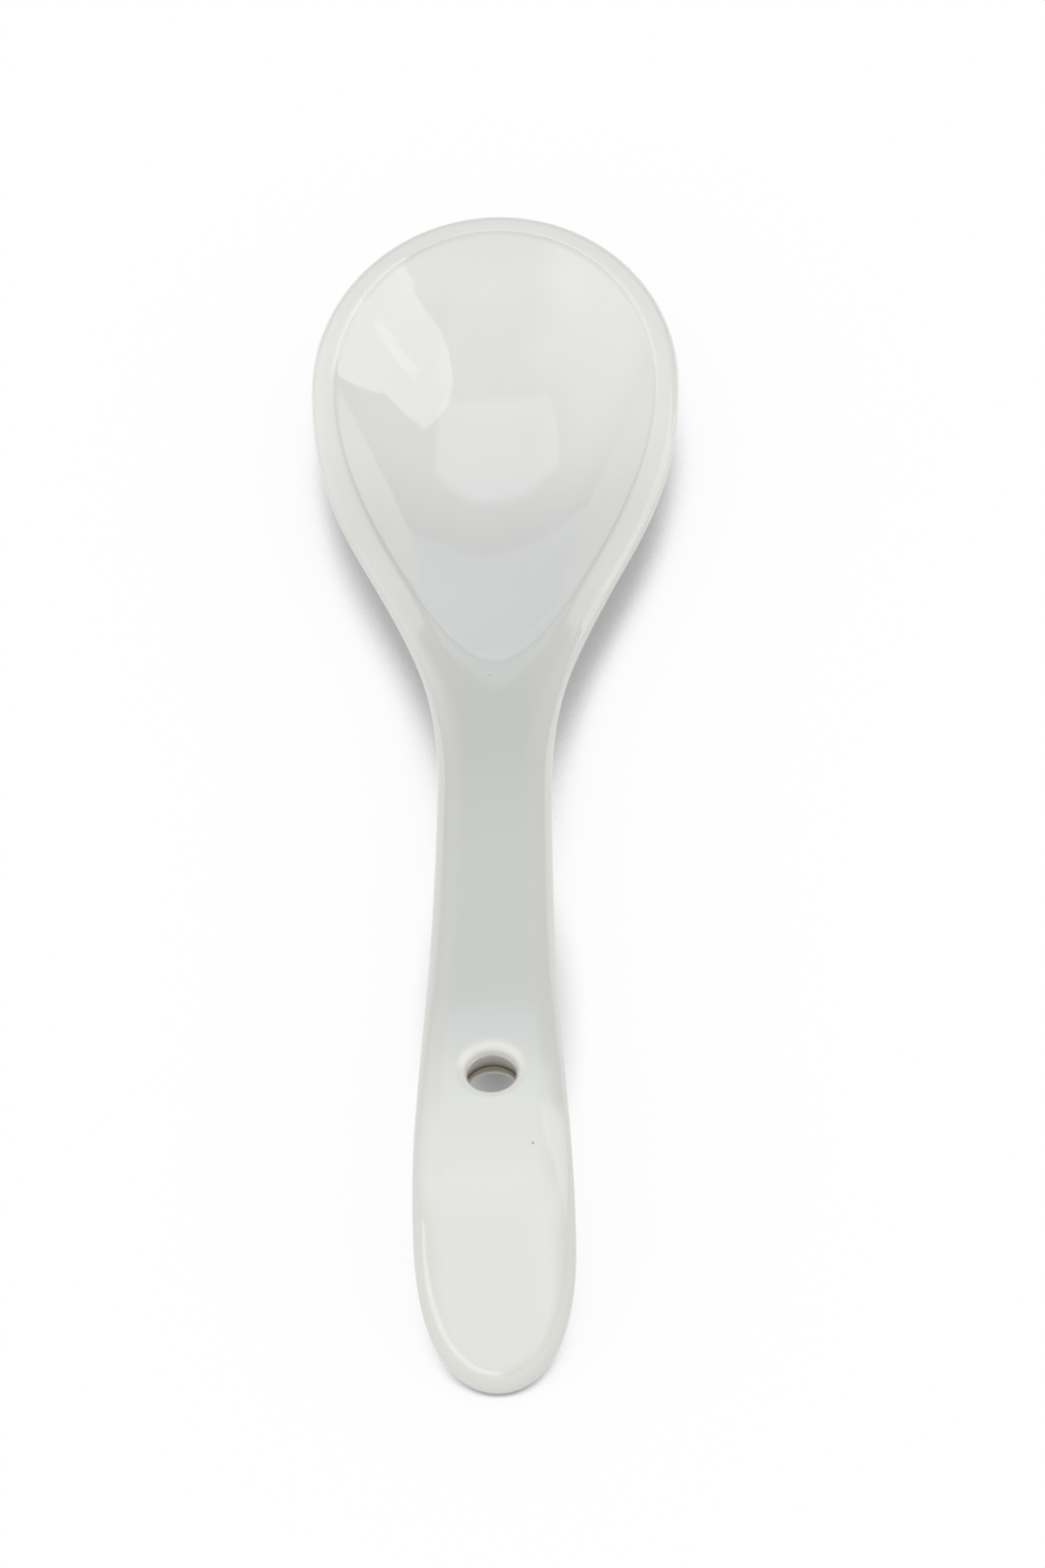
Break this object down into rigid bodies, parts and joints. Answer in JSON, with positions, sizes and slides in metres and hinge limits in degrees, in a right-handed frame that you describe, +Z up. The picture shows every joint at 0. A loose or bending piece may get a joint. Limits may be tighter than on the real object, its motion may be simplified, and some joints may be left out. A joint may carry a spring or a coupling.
{
  "type": "sugar spoon",
  "caption": "White glazed porcelain sugar spoon with a rounded teardrop bowl and an arched handle pierced by a small hanging hole; it scoops and serves sugar",
  "frame": {"origin": "on the table, under the middle of the box that the resting spoon fills", "axes": "+Z is up from the table, +Y runs along the spoon from the handle to the bowl, and X is across it"},
  "size_m": [0.036, 0.1346, 0.0179],
  "materials": {
    "bare_porcelain": "matte",
    "white_glaze": "gloss"
  },
  "bodies": {
    "root": {"porcelain_body": "bare_porcelain", "glaze_coat": "white_glaze"}
  },
  "joints": []
}
